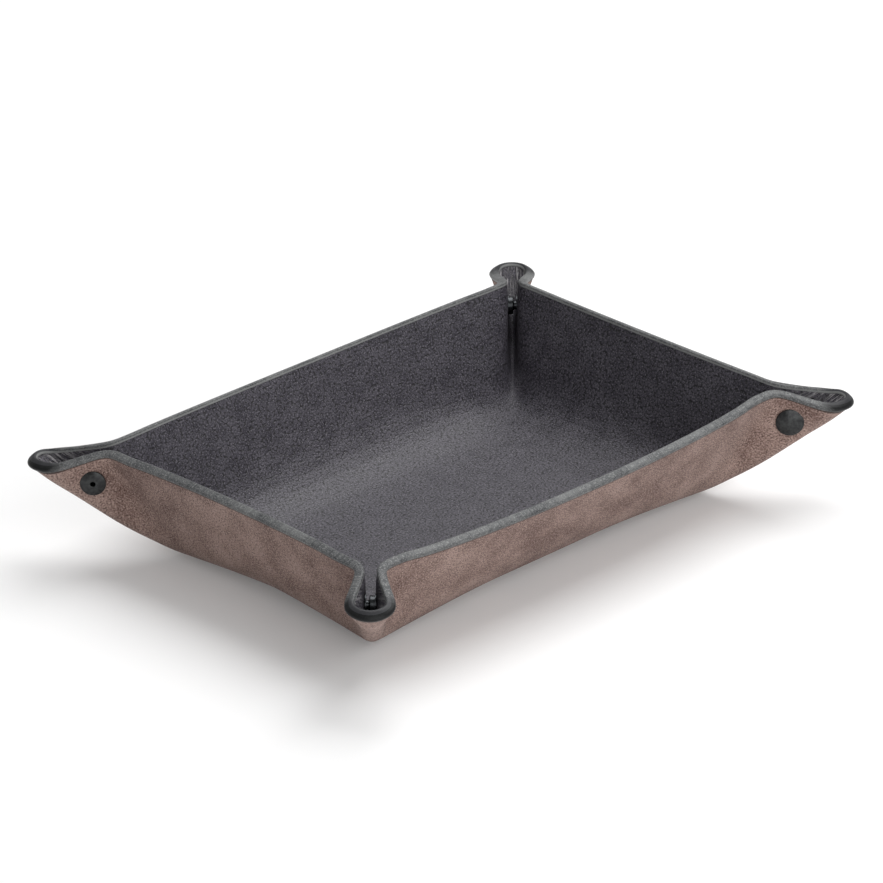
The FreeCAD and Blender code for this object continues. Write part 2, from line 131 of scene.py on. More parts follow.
@dataclass(frozen=True)
class Fold:
    """How the flat sheet is bent up into the tray.

    A place on the flat sheet is (u, v), from its middle, with u along its length. Creased plates
    come first, and averaging over a disc round each place then rounds every bend.
    """

    base_length: float = 210 * MM
    base_width: float = 123.5 * MM
    wall_height: float = 54.3 * MM
    thickness: float = 3.6 * MM
    wall_lean: float = math.radians(67.5)
    long_wall_sag: float = math.radians(5.9)
    short_wall_sag: float = math.radians(-2.2)
    sag_power: float = 0.65
    base_bend: float = 44.7 * MM
    fin_half_gap: float = 3.83 * MM
    fin_bend: float = 5.0 * MM
    neck_bend: float = 8.75 * MM
    bend_start: float = -52 * MM
    bend_end: float = 34 * MM
    ridge_zone: float = 8 * MM
    ear_half_gap: float = 10.6 * MM
    ear_start: float = 48 * MM
    ear_end: float = 5 * MM
    ear_lift: float = 5.9
    ear_lift_start: float = 54.5 * MM
    rings: int = 5
    spokes: int = 12
    nudge: float = 0.05 * MM

    @property
    def base_half(self) -> tuple[float, float]:
        """Half the base's length and half its width, between the crease lines."""
        return self.base_length / 2, self.base_width / 2

    @property
    def sheet_half(self) -> tuple[float, float]:
        """Half the flat sheet's length and half its width."""
        along, across = self.base_half
        return along + self.wall_height, across + self.wall_height

    def corner_ways(self, u: np.ndarray, v: np.ndarray) -> tuple[np.ndarray, np.ndarray]:
        """Measure places from the nearest corner of the base.

        Args:
            u: Places along the sheet's length.
            v: Places along its width.

        Returns:
            The way out along the corner's fold line, and the way aside from it, which is
            positive towards the long wall.
        """
        p, q = np.abs(u) - self.base_half[0], np.abs(v) - self.base_half[1]
        return (p + q) / math.sqrt(2), (q - p) / math.sqrt(2)

    def disc(self) -> list[tuple[float, float, float]]:
        """Lay out the averaging disc of radius 1.

        Returns:
            Rows of x, y and weight, whose weights add up to 1.
        """
        rows = [(0.0, 0.0, 1.0)]
        for ring in range(1, self.rings + 1):
            radius = ring / (self.rings + 0.5)
            weight = (1 - radius ** 2) ** 2 * 6 * ring / self.spokes
            for spoke in range(self.spokes):
                turn = math.tau * (spoke + 0.5 * (ring % 2)) / self.spokes
                rows.append((radius * math.cos(turn), radius * math.sin(turn), weight))
        total = sum(row[2] for row in rows)
        return [(x, y, weight / total) for x, y, weight in rows]

    def reach(self, u: np.ndarray, v: np.ndarray) -> np.ndarray:
        """The averaging disc's radius at each place: wide at the base's bends, small in a fin.

        Args:
            u: Places along the sheet's length.
            v: Places along its width.

        Returns:
            The radii.
        """
        along, aside = self.corner_ways(u, v)
        into_fin = smooth_step((along - self.bend_start) / (self.bend_end - self.bend_start))
        near_ridge = np.exp(-(aside / self.ridge_zone) ** 2)
        fine = self.fin_bend + (self.neck_bend - self.fin_bend) * (1 - near_ridge)
        return self.base_bend * (1 - into_fin) + fine * into_fin

    def creased(self, u: np.ndarray, v: np.ndarray) -> np.ndarray:
        """Place flat points on the creased plates.

        Args:
            u: Places along the sheet's length.
            v: Places along its width.

        Returns:
            An (n, 3) array of places.
        """
        half_length, half_width = self.base_half
        sign_u, sign_v = np.where(u < 0, -1.0, 1.0), np.where(v < 0, -1.0, 1.0)
        u, v = np.abs(u), np.abs(v)
        p, q = u - half_length, v - half_width
        long_lean = self.wall_lean - self.long_wall_sag * (
            1 - np.clip(u / half_length, 0, 1) ** 2) ** self.sag_power
        short_lean = self.wall_lean - self.short_wall_sag * (
            1 - np.clip(v / half_width, 0, 1) ** 2) ** self.sag_power
        on_short = p > q
        up_wall = np.where(on_short, p, q)
        along_wall = np.where(on_short, q, p)
        lean = np.where(on_short, short_lean, long_lean)
        base = up_wall <= 0
        out = np.where(base, up_wall, up_wall * np.cos(lean))
        up = np.where(base, 0.0, up_wall * np.sin(lean))

        edge_rise = math.atan(math.tan(self.wall_lean) / math.sqrt(2))
        ridge_rise = edge_rise - (math.pi / 4 - math.atan(math.cos(self.wall_lean)))
        rise_cos, rise_sin = math.cos(ridge_rise), math.sin(ridge_rise)
        way, aside = self.corner_ways(u, v)
        aside = np.abs(aside)
        ear_widest = self.wall_height * math.sqrt(2) - self.ear_end
        opening = smooth_step((way - self.ear_start) / (ear_widest - self.ear_start))
        gap = self.fin_half_gap + (self.ear_half_gap - self.fin_half_gap) * opening
        turn = np.minimum(aside / gap, math.pi / 2)
        side = gap * np.sin(turn)
        height = gap * (1 - np.cos(turn)) + np.maximum(0, aside - gap * math.pi / 2)
        drop = (2 - math.pi / 2) * self.fin_half_gap
        lift = self.ear_lift * np.maximum(0, way - self.ear_lift_start) ** 2
        outward = (way + self.fin_half_gap) * rise_cos - (height - drop) * rise_sin - self.fin_half_gap
        level = (way + self.fin_half_gap) * rise_sin + (height - drop) * rise_cos + lift
        fin = (along_wall > up_wall * math.cos(self.wall_lean) - math.sqrt(2) * self.fin_half_gap)
        fin = fin & (up_wall > 0) & (way > 0)
        along = np.where(fin, (outward - side) / math.sqrt(2), along_wall)
        out = np.where(fin, (outward + side) / math.sqrt(2), out)
        up = np.where(fin, level, up)
        x = np.where(on_short, out, along) + half_length
        y = np.where(on_short, along, out) + half_width
        return np.stack([x * sign_u, y * sign_v, up], axis=-1)

    def place(self, u: np.ndarray, v: np.ndarray) -> np.ndarray:
        """Place flat points on the middle of the bent sheet's thickness.

        Args:
            u: Places along the sheet's length.
            v: Places along its width.

        Returns:
            An (n, 3) array of places.
        """
        reach = self.reach(u, v)
        total = np.zeros((len(u), 3))
        for x, y, weight in self.disc():
            total += weight * self.creased(u + reach * x, v + reach * y)
        return total + np.array([0, 0, self.thickness / 2])

    def slopes(self, u: np.ndarray, v: np.ndarray) -> tuple[np.ndarray, np.ndarray, np.ndarray]:
        """Find how the bent sheet lies at flat points.

        Args:
            u: Places along the sheet's length.
            v: Places along its width.

        Returns:
            The unit directions of the flat length and width there, and the normal on the black
            side, each as an (n, 3) array.
        """
        along = unit(self.place(u + self.nudge, v) - self.place(u - self.nudge, v))
        across = unit(self.place(u, v + self.nudge) - self.place(u, v - self.nudge))
        return along, across, unit(np.cross(along, across))


@dataclass(frozen=True)
class FlapCut:
    """Where the sheet is parted into the main piece and the two flaps of each corner.

    A flap is bounded by its hinge line beside the ridge and by a line up the wall, short of
    which nothing moves when the corner's stud is pulled open. Past the stud the ear opens and
    leaves the straight hinge line, so there the flap bends from that border up to fold_aside.
    """

    hinge_aside: float = 5.8 * MM
    wall_line_start: float = 6.0 * MM
    wall_line_slope: float = 0.15
    still_until: float = 9 * MM
    moving_from: float = 44 * MM
    hinge_start: float = 26 * MM
    ear_from: float = 48.2 * MM
    fold_aside: float = 11.8 * MM
    fold_lean: float = math.radians(35)

    def corner_point(self, fold: Fold, corner: Corner, way: float, aside: float) -> Vector:
        """Find a flat place from its ways along and aside from a corner's fold line.

        Args:
            fold: How the sheet is bent.
            corner: The corner.
            way: The way out along its fold line.
            aside: The way aside from that line, positive towards the long wall.

        Returns:
            The flat place.
        """
        p, q = (way - aside) / math.sqrt(2), (way + aside) / math.sqrt(2)
        sign_u, sign_v = corner.value
        return Vector((sign_u * (fold.base_half[0] + p), sign_v * (fold.base_half[1] + q), 0))

    def directions(self, corner: Corner) -> tuple[Vector, Vector]:
        """The flat directions along a corner's fold line and aside to the long wall."""
        sign_u, sign_v = corner.value
        return Vector((sign_u, sign_v, 0)) / math.sqrt(2), Vector((-sign_u, sign_v, 0)) / math.sqrt(2)

    def owner(self, fold: Fold, u: float, v: float) -> Owner:
        """Say which flap a flat place lies on, or None on the main piece.

        Args:
            fold: How the sheet is bent.
            u: The place along the sheet's length.
            v: The place along its width.

        Returns:
            The flap's corner and wall, and its share.
        """
        way, aside = (float(w) for w in fold.corner_ways(u, v))
        beyond = abs(aside) - self.hinge_aside
        if beyond < 0 or way + self.wall_line_slope * beyond < self.wall_line_start:
            return None
        corner = Corner((1 if u > 0 else -1, 1 if v > 0 else -1))
        share = Share.EAR if way > self.ear_from else Share.FLAP
        return corner, Wall.LONG if aside > 0 else Wall.SHORT, share


@dataclass(frozen=True)
class RimProfile:
    """The painted edge of the sheet: a flat crest with rounded shoulders, over both layers.

    The profile is half of the curve |x / half_width| ^ squareness + |y / half_height| ^ squareness = 1.
    """

    thickness: float = 3.6 * MM
    bead: float = 0.20 * MM
    half_width: float = 1.1 * MM
    squareness: float = 3.4
    bulge: float = 0.8 * MM
    ear_swell: float = 0.55 * MM
    ear_start: float = 58 * MM
    ear_full: float = 69 * MM
    steps: int = 10

    @property
    def half_height(self) -> float:
        """Half the painted edge's height, which stands a bead proud of each face."""
        return self.thickness / 2 + self.bead

    @property
    def start_turn(self) -> float:
        """The angle on the curve at which it leaves the leather's face."""
        return math.pi - math.asin((self.thickness / 2 / self.half_height) ** (self.squareness / 2))

    @property
    def centre(self) -> float:
        """How far the curve's centre is outside the line where the paint begins."""
        return self.half_width * abs(math.cos(self.start_turn)) ** (2 / self.squareness)

    @property
    def inset(self) -> float:
        """How far inside the sheet's outline the paint begins."""
        return self.centre + self.half_width - self.bulge

    def points(self, way: float) -> np.ndarray:
        """List the profile from the face's border to the crest at mid thickness.

        Args:
            way: The way out along the corner's fold line, towards whose end the paint is thicker.

        Returns:
            Rows of the way out and up from the border, and of the normal's two parts.
        """
        share = np.linspace(0, 1, self.steps + 1)
        turn = self.start_turn * (1 - share)
        power = 2 / self.squareness
        across, upward = np.sign(np.cos(turn)) * np.abs(np.cos(turn)) ** power, np.abs(np.sin(turn)) ** power
        curve = np.stack([self.half_width * across, self.half_height * upward], axis=1)
        square = unit(np.stack([np.cos(turn) / self.half_width, np.sin(turn) / self.half_height], axis=1))
        at_ear = smooth_step((way - self.ear_start) / (self.ear_full - self.ear_start))
        swell = self.ear_swell * at_ear * (1 - (1 - share) ** 4)
        line = curve + (self.centre, 0) + square * swell[:, None]
        steps = np.gradient(line, axis=0)
        normals = unit(np.stack([-steps[:, 1], steps[:, 0]], axis=1))
        normals[-1] = (1, 0)
        return np.concatenate([line, normals], axis=1)


@dataclass(frozen=True)
class StudSeat:
    """Where a press-stud's post goes through each wall's leather, and how it presses it in."""

    way: float = 46.8 * MM
    aside: float = 12.2 * MM
    hole: float = 1.6 * MM
    brown_radius: float = 6.25 * MM
    black_radius: float = 4.9 * MM
    soft: float = 3.2 * MM
    depth: float = 0.22 * MM

    def away(self, fold: Fold, u: np.ndarray, v: np.ndarray) -> np.ndarray:
        """How far flat places are from the nearest post's axis."""
        way, aside = fold.corner_ways(u, v)
        return np.hypot(way - self.way, np.abs(aside) - self.aside)

    def dent(self, fold: Fold, layer: Layer, u: np.ndarray, v: np.ndarray) -> np.ndarray:
        """How far the metal presses a face in at flat places."""
        radius = self.brown_radius if layer is Layer.BROWN else self.black_radius
        return self.depth * (1 - smooth_step((self.away(fold, u, v) - radius + self.soft / 3) / self.soft))


@dataclass
class FlatSheet:
    """The cut sheet, laid flat and divided into small faces that its folded pieces share.

    The faces are small at the corners, where the bends are tight, and are parted along the
    flaps' borders, so that neighbouring pieces meet point to point.
    """

    fold: Fold
    cut: FlapCut
    rim: RimProfile
    seat: StudSeat = StudSeat()
    corner_round: float = 12 * MM
    fine_step: float = 0.8 * MM
    coarse_step: float = 3.0 * MM
    fine_from: tuple[float, float] = (88 * MM, 46 * MM)
    places: np.ndarray = field(init=False)
    faces: dict[Owner, list[list[int]]] = field(init=False)
    borders: set[tuple[int, int]] = field(init=False)

    def __post_init__(self) -> None:
        """Draw the lattice, part it along the flaps and note its faces and outline."""
        flat = self.lattice()
        for corner in Corner:
            self.part_corner(flat, corner)
            self.pierce(flat, corner)
        flat.verts.index_update()
        self.places = np.array([v.co[:2] for v in flat.verts])
        self.borders = set()
        self.faces = {}
        for face in flat.faces:
            centre = face.calc_center_median()
            owner = self.cut.owner(self.fold, centre.x, centre.y)
            self.faces.setdefault(owner, []).append([v.index for v in face.verts])
            for loop in face.loops:
                if loop.edge.is_boundary and self.seat.away(self.fold, *loop.vert.co[:2]) > 2 * self.seat.hole:
                    self.borders.add((loop.vert.index, loop.link_loop_next.vert.index))
        flat.free()

    def lines(self, half: float, fine_from: float) -> np.ndarray:
        """Space the lattice's lines from the middle out, coarse and then fine, on both sides.

        Args:
            half: Where the last line is.
            fine_from: Where the fine spacing begins.

        Returns:
            The lines' places.
        """
        coarse = np.linspace(0, fine_from, math.ceil(fine_from / self.coarse_step) + 1)
        fine = np.linspace(fine_from, half, math.ceil((half - fine_from) / self.fine_step) + 1)
        positive = np.concatenate([coarse, fine[1:]])
        return np.concatenate([-positive[:0:-1], positive])

    def lattice(self) -> bmesh.types.BMesh:
        """Draw the lattice of four-sided faces, squeezed to the outline's rounded corners.

        Returns:
            The lattice.
        """
        half = [side - self.rim.inset for side in self.fold.sheet_half]
        lines = [self.lines(half[axis], self.fine_from[axis]) for axis in (0, 1)]
        u, v = (grid.ravel() for grid in np.meshgrid(*lines, indexing="ij"))
        centre = [side - self.corner_round for side in self.fold.sheet_half]
        over_u, over_v = np.abs(u) - centre[0], np.abs(v) - centre[1]
        in_corner = (over_u > 0) & (over_v > 0)
        squeeze = np.where(in_corner, np.maximum(over_u, over_v) / np.maximum(
            np.hypot(over_u, over_v), 1e-9), 1.0)
        u = np.where(in_corner, np.sign(u) * (centre[0] + over_u * squeeze), u)
        v = np.where(in_corner, np.sign(v) * (centre[1] + over_v * squeeze), v)
        flat = bmesh.new()
        verts = [flat.verts.new((a, b, 0)) for a, b in zip(u.tolist(), v.tolist())]
        rows = len(lines[1])
        for i in range(len(lines[0]) - 1):
            for j in range(rows - 1):
                at = i * rows + j
                flat.faces.new((verts[at], verts[at + rows], verts[at + rows + 1], verts[at + 1]))
        return flat

    def pierce(self, flat: bmesh.types.BMesh, corner: Corner) -> None:
        """Open the two round holes of one corner for its press-stud's post.

        Args:
            flat: The lattice.
            corner: The corner.
        """
        for wall in Wall:
            centre = self.cut.corner_point(self.fold, corner, self.seat.way, wall.value * self.seat.aside)
            reach = self.seat.hole + self.fine_step / 2
            inside = [face for face in flat.faces if (face.calc_center_median() - centre).length < 2 * reach
                      and all((vert.co - centre).length < reach for vert in face.verts)]
            ring = {vert for face in inside for vert in face.verts}
            bmesh.ops.delete(flat, geom=inside, context="FACES")
            for vert in ring:
                if vert.is_valid:
                    vert.co = centre + (vert.co - centre).normalized() * self.seat.hole

    def part_corner(self, flat: bmesh.types.BMesh, corner: Corner) -> None:
        """Draw the two hinge lines, wall lines and ears' inner ends of one corner into the lattice.

        Args:
            flat: The lattice.
            corner: The corner.
        """
        way_out, to_long = self.cut.directions(corner)
        for wall in Wall:
            aside = to_long * wall.value
            start = self.cut.corner_point(self.fold, corner, self.cut.wall_line_start,
                                          wall.value * self.cut.hinge_aside)
            self.part(flat, corner, start - way_out * 2 * self.fine_step, way_out, start, aside)
            self.part(flat, corner, start, aside, start, way_out + aside * self.cut.wall_line_slope)
            ear = self.cut.corner_point(self.fold, corner, self.cut.ear_from, wall.value * self.cut.hinge_aside)
            self.part(flat, corner, ear, aside, ear, way_out)

    def part(self, flat: bmesh.types.BMesh, corner: Corner, limit: Vector, beyond: Vector,
             point: Vector, normal: Vector) -> None:
        """Draw a straight line into the lattice's faces in one part of a corner.

        Args:
            flat: The lattice.
            corner: The corner.
            limit: A flat place on the near side of that part.
            beyond: The flat direction in which the part lies from the limit.
            point: A flat place on the line.
            normal: The flat direction square to the line.
        """
        near = [face for face in flat.faces if self.in_corner(face, corner)
                and (face.calc_center_median() - limit).dot(beyond) > 0]
        edges = {edge for face in near for edge in face.edges}
        verts = {vert for face in near for vert in face.verts}
        bmesh.ops.bisect_plane(flat, geom=[*near, *edges, *verts], dist=1e-6, plane_co=point,
                               plane_no=normal.normalized())

    def in_corner(self, face: bmesh.types.BMFace, corner: Corner) -> bool:
        """Say whether a face lies in a corner's quarter of the sheet."""
        centre = face.calc_center_median()
        return centre.x * corner.value[0] > 0 and centre.y * corner.value[1] > 0

    def outward(self, places: np.ndarray) -> np.ndarray:
        """The flat direction square to the outline at places on it.

        Args:
            places: Rows of flat places.

        Returns:
            Rows of unit directions.
        """
        over = np.abs(places) - (np.array(self.fold.sheet_half) - self.corner_round)
        along_side = over.argmax(axis=1)[:, None] == np.arange(2)
        rounded = (over > 0).all(axis=1)[:, None]
        return unit(np.where(rounded, over, along_side * 1.0)) * np.sign(places)


@dataclass
class BentSheet:
    """The flat sheet's places after folding, with its normals and the relief of its two faces."""

    flat: FlatSheet
    crease_depth: float = 0.12 * MM
    crease_spacing: float = 3.4 * MM
    crease_start: float = 54 * MM
    crease_full: float = 66 * MM
    crease_run: float = 7 * MM
    wander: float = 0.9
    phases: tuple[float, float] = (1.3, 0.7)
    second_pace: float = 1.7
    second_height: float = 0.6
    middle: np.ndarray = field(init=False)
    normal: np.ndarray = field(init=False)
    outward: np.ndarray = field(init=False)
    face_normals: dict[Layer, np.ndarray] = field(init=False)
    relief: dict[Layer, np.ndarray] = field(init=False)

    def __post_init__(self) -> None:
        """Fold the sheet and work out the creases at the ears."""
        fold, places = self.flat.fold, self.flat.places
        u, v = places[:, 0], places[:, 1]
        self.middle = fold.place(u, v)
        along, across, self.normal = fold.slopes(u, v)
        way_out = self.flat.outward(places)
        self.outward = unit(along * way_out[:, :1] + across * way_out[:, 1:])
        self.face_normals, self.relief = {}, {}
        nudge = fold.nudge
        for layer in Layer:
            height = self.stand(layer, u, v)
            rise_u = (self.stand(layer, u + nudge, v) - height) / nudge
            rise_v = (self.stand(layer, u, v + nudge) - height) / nudge
            tilted = self.normal * layer.value - along * rise_u[:, None] - across * rise_v[:, None]
            self.relief[layer] = height
            self.face_normals[layer] = unit(tilted)

    def stand(self, layer: Layer, u: np.ndarray, v: np.ndarray) -> np.ndarray:
        """How far a face stands out at flat places, with its creases and the dents under the metal."""
        dent = self.flat.seat.dent(self.flat.fold, layer, u, v)
        return -dent if layer is Layer.BROWN else self.creases(u, v) - dent

    def creases(self, u: np.ndarray, v: np.ndarray) -> np.ndarray:
        """How far the black face stands out at flat places, where the pinched ear wrinkles it lengthwise.

        Args:
            u: Places along the sheet's length.
            v: Places along its width.

        Returns:
            The heights.
        """
        way, aside = self.flat.fold.corner_ways(u, v)
        strength = smooth_step((way - self.crease_start) / (self.crease_full - self.crease_start))
        turn = aside * math.tau / self.crease_spacing
        phase = self.phases[0] * np.sign(u) + self.phases[1] * np.sign(v)
        wander = self.wander * np.sin(way / self.crease_run + phase)
        second = self.second_height * np.sin(self.second_pace * turn - wander + 2 * phase)
        return self.crease_depth * strength * (np.sin(turn + wander + phase) + second)


@dataclass
class LeatherPiece:
    """One closed piece of one leather layer, from its own face to the bond in the middle."""

    layer: Layer
    owner: Owner
    bent: BentSheet
    faces: list[list[int]]
    used: list[int] = field(init=False)
    number: dict[int, int] = field(init=False)
    points: list[np.ndarray] = field(default_factory=list)
    spots: list[np.ndarray] = field(default_factory=list)
    polygons: list[list[int]] = field(default_factory=list)
    normals: list[np.ndarray] = field(default_factory=list)
    painted: list[bool] = field(default_factory=list)

    def __post_init__(self) -> None:
        """Number the flat places that the piece takes up."""
        self.used = sorted({spot for face in self.faces for spot in face})
        self.number = {spot: at for at, spot in enumerate(self.used)}

    @property
    def name(self) -> str:
        """The piece's name."""
        name = "_".join(part.title for part in (*(self.owner or ()), self.layer))
        return name if self.owner else f"{name}_sheet"

    def build(self, leather: bpy.types.Material, paint: bpy.types.Material) -> bpy.types.Object:
        """Make the piece's mesh, with its own leather and the edge paint on it.

        Args:
            leather: The material of the leather's face and cut sides.
            paint: The material of the sheet's edge.

        Returns:
            The piece, at rest in its place.
        """
        flat, side, count = self.bent.flat, self.layer.value, len(self.used)
        middle, normal = self.bent.middle[self.used], self.bent.normal[self.used] * side
        stand = flat.fold.thickness / 2 + self.bent.relief[self.layer][self.used]
        slopes = self.bent.face_normals[self.layer][self.used]
        # Points 0 to count - 1 are on the leather's face, and the next count are below them on the bond.
        self.points = [*(middle + normal * stand[:, None]), *middle]
        self.spots = [*flat.places[self.used]] * 2
        for face in self.faces:
            ring = [self.number[spot] for spot in face][::side]
            self.add(ring, slopes[ring])
            self.add([at + count for at in ring[::-1]], -normal[ring[::-1]])

        steps = {(face[at - 1], face[at]) for face in self.faces for at in range(len(face))}
        edges = sorted(step for step in steps if step[::-1] not in steps)
        rim = [step for step in edges if step in flat.borders]
        cuts = [step for step in edges if step not in flat.borders]
        columns, slopes = self.rim_columns(rim)
        for first, second in rim:
            self.add_wall(columns[first], columns[second], slopes[first], slopes[second])
        for step in cuts:
            self.add_wall(*([self.number[spot], self.number[spot] + count] for spot in step))
        for first, second in cuts:
            for spot, arrives in ((second, True), (first, False)):
                if spot in columns:
                    ring = columns[spot]
                    out_first = arrives == (side > 0)
                    self.add_flat([ring[0], *ring[:0:-1]] if out_first else [ring[-1], *ring[:-1]])
        return self.finish(leather, paint)

    def rim_columns(self, rim: list[tuple[int, int]]) -> tuple[dict[int, list[int]], dict[int, np.ndarray]]:
        """Add the painted edge's points, in a column at each place on the outline.

        Args:
            rim: The outline's steps, as pairs of flat places.

        Returns:
            For each flat place on the outline, its column of points and their normals, from the
            leather's face to the middle.
        """
        flat = self.bent.flat
        columns, normals = {}, {}
        for spot in sorted({spot for step in rim for spot in step}):
            middle, normal = self.bent.middle[spot], self.bent.normal[spot] * self.layer.value
            outward = self.bent.outward[spot]
            place = flat.places[spot]
            flat_out = flat.outward(place[None])[0]
            profile = flat.rim.points(float(flat.fold.corner_ways(*place)[0]))
            column = [self.number[spot]]
            slopes = [outward * profile[0][2] + normal * profile[0][3]]
            for out, up, slope_out, slope_up in profile[1:]:
                column.append(len(self.points))
                self.points.append(middle + outward * out + normal * up)
                self.spots.append(place + flat_out * (out + flat.rim.half_height - up))
                slopes.append(outward * slope_out + normal * slope_up)
            columns[spot] = [*column, self.number[spot] + len(self.used)]
            normals[spot] = np.array([*slopes, -normal])
        return columns, normals

    def add(self, ring: list[int], normals: np.ndarray, painted: bool = False) -> None:
        """Add a face with its points' normals, and say whether it is painted.

        Args:
            ring: The face's points.
            normals: Their normals.
            painted: Whether it has the edge paint.
        """
        self.polygons.append(ring)
        self.normals.append(normals)
        self.painted.append(painted)

    def add_flat(self, ring: list[int]) -> None:
        """Add a cut face, shaded flat.

        Args:
            ring: The face's points.
        """
        corners = np.array([self.points[at] for at in ring])
        middle = corners.mean(axis=0)
        around = np.cross(corners - middle, np.roll(corners, -1, axis=0) - middle).sum(axis=0)
        self.add(ring, np.repeat(unit(around)[None], len(ring), axis=0))

    def add_wall(self, first: list[int], second: list[int], first_normals: np.ndarray | None = None,
                 second_normals: np.ndarray | None = None) -> None:
        """Add the faces between two columns of points, painted where the columns have normals.

        Args:
            first: The first column's points.
            second: The second column's points.
            first_normals: The first column's normals, if it is painted.
            second_normals: The second column's normals, if it is painted.
        """
        for at in range(len(first) - 1):
            low, high = (at, at + 1) if self.layer is Layer.BROWN else (at + 1, at)
            ring = [first[low], second[low], second[high], first[high]]
            if first_normals is None or at == len(first) - 2:
                self.add_flat(ring)
            else:
                self.add(ring, np.array([first_normals[low], second_normals[low], second_normals[high],
                                         first_normals[high]]), True)

    def finish(self, leather: bpy.types.Material, paint: bpy.types.Material) -> bpy.types.Object:
        """Turn the collected faces into an object with its two maps and its materials.

        Args:
            leather: The material of the leather.
            paint: The material of the sheet's edge.

        Returns:
            The piece.
        """
        mesh = bpy.data.meshes.new(self.name)
        mesh.from_pydata(np.array(self.points).tolist(), [], self.polygons)
        mesh.materials.append(leather)
        mesh.materials.append(paint)
        mesh.polygons.foreach_set("material_index", [int(painted) for painted in self.painted])
        mesh.polygons.foreach_set("use_smooth", [True] * len(self.polygons))
        fold = self.bent.flat.fold
        spots = np.array(self.spots)[np.concatenate(self.polygons)]
        ways = np.stack(fold.corner_ways(*spots.T), axis=1)
        for name, values in (("sheet", spots), ("corner", ways)):
            chart = mesh.uv_layers.new(name=name)
            chart.uv.foreach_set("vector", (values / (2 * fold.sheet_half[0]) + 0.5).astype(np.float32).ravel())
        mesh.normals_split_custom_set(np.concatenate(self.normals).tolist())
        piece = bpy.data.objects.new(self.name, mesh)
        bpy.context.scene.collection.objects.link(piece)
        return piece


def add_node(tree: bpy.types.NodeTree, kind: str, feeds: dict[str | int, object] | None = None,
             output: str | int = 0, **settings: object) -> bpy.types.NodeSocket:
    """Add a shader node with its settings and what feeds it.

    Args:
        tree: The material's node tree.
        kind: The node's type, without the words that every shader node's type begins with.
        feeds: For each input, by name or number, its value or the output that is linked to it.
        output: The output that is wanted, by name or number.
        settings: The node's own properties.

    Returns:
        That output of the new node.
    """
    made = tree.nodes.new("ShaderNode" + kind)
    for name, value in settings.items():
        setattr(made, name, value)
    for socket, value in (feeds or {}).items():
        if isinstance(value, bpy.types.NodeSocket):
            tree.links.new(value, made.inputs[socket])
        else:
            made.inputs[socket].default_value = value
    return made.outputs[output]


@dataclass(frozen=True)
class Spots:
    """Soft random spots of a size, which is in millimetres where the place is."""

    size: float
    detail: float = 3.0
    roughness: float = 0.5

    def feeds(self, place: bpy.types.NodeSocket) -> dict[str, object]:
        """What feeds a noise texture so that it draws the spots."""
        return {"Vector": place, "Scale": 1 / self.size, "Detail": self.detail, "Roughness": self.roughness}


@dataclass(frozen=True)
class Coat:
    """A colour that lies over a finish where a pattern goes from bare to full."""

    code: str
    bare: float = 0.0
    full: float = 1.0
    strength: float = 1.0

    def over(self, ground: object, pattern: bpy.types.NodeSocket) -> bpy.types.NodeSocket:
        """Lay the colour by a pattern over a ground, which is a linear colour or an output.

        Args:
            ground: What the coat lies on.
            pattern: Where it lies.

        Returns:
            The colour of both.
        """
        tree = pattern.id_data
        cover = add_node(tree, "MapRange", {0: pattern, 1: self.bare, 2: self.full, 4: self.strength})
        return add_node(tree, "Mix", {0: cover, 6: ground, 7: colour(self.code)}, 2, data_type="RGBA")


class Finish:
    """A material, with what every finish shares."""

    name: str

    def start(self, **sockets: float) -> tuple[bpy.types.Material, bpy.types.NodeTree, bpy.types.Node]:
        """Make a new material with its shader's plain values set.

        Args:
            sockets: The shader's values, by the names of its inputs.

        Returns:
            The material, its nodes and its shader.
        """
        material = bpy.data.materials.new(self.name)
        material.use_nodes = True
        shader = material.node_tree.nodes["Principled BSDF"]
        for socket, value in sockets.items():
            shader.inputs[socket.replace("_", " ").title().replace("Ior", "IOR")].default_value = value
        return material, material.node_tree, shader


class PatternedFinish(Finish):
    """A finish whose colour and relief are made up of patterns.

    The relief is their sum by the weights in relief, as deep as depth. The roughness goes from
    smooth to rough as a pattern goes through worn_range.
    """

    worn_range: tuple[float, float] = (0.3, 0.7)
    dark: str
    depth: float
    relief: tuple[float, ...]
    smooth: float
    rough: float

    def layers(self, *coats: tuple[Coat, bpy.types.NodeSocket]) -> bpy.types.NodeSocket:
        """Lay coats over the dark ground, each by its pattern.

        Args:
            coats: The coats and patterns, lowest first.

        Returns:
            The colour of them all.
        """
        ground = colour(self.dark)
        for coat, pattern in coats:
            ground = coat.over(ground, pattern)
        return ground

    def close(self, shader: bpy.types.Node, ground: bpy.types.NodeSocket, *heights: bpy.types.NodeSocket,
              worn: bpy.types.NodeSocket | None = None) -> None:
        """Feed the shader.

        Args:
            shader: The finish's shader.
            ground: Its colour.
            heights: The patterns of its relief, in the order of their weights.
            worn: The pattern that its roughness goes with, or None where that is even.
        """
        tree = shader.id_data
        feeds = {"Base Color": ground}
        height = 0.0
        for pattern, weight in zip(heights, self.relief, strict=True):
            height = add_node(tree, "Math", {0: pattern, 1: weight, 2: height}, operation="MULTIPLY_ADD")
        feeds["Normal"] = add_node(tree, "Bump", {"Height": height, "Distance": self.depth, "Strength": 1.0})
        if worn is not None:
            low, high = self.worn_range
            wear = {0: worn, 1: low, 2: high, 3: self.smooth, 4: self.rough}
            feeds["Roughness"] = add_node(tree, "MapRange", wear)
        for socket, source in feeds.items():
            tree.links.new(source, shader.inputs[socket])


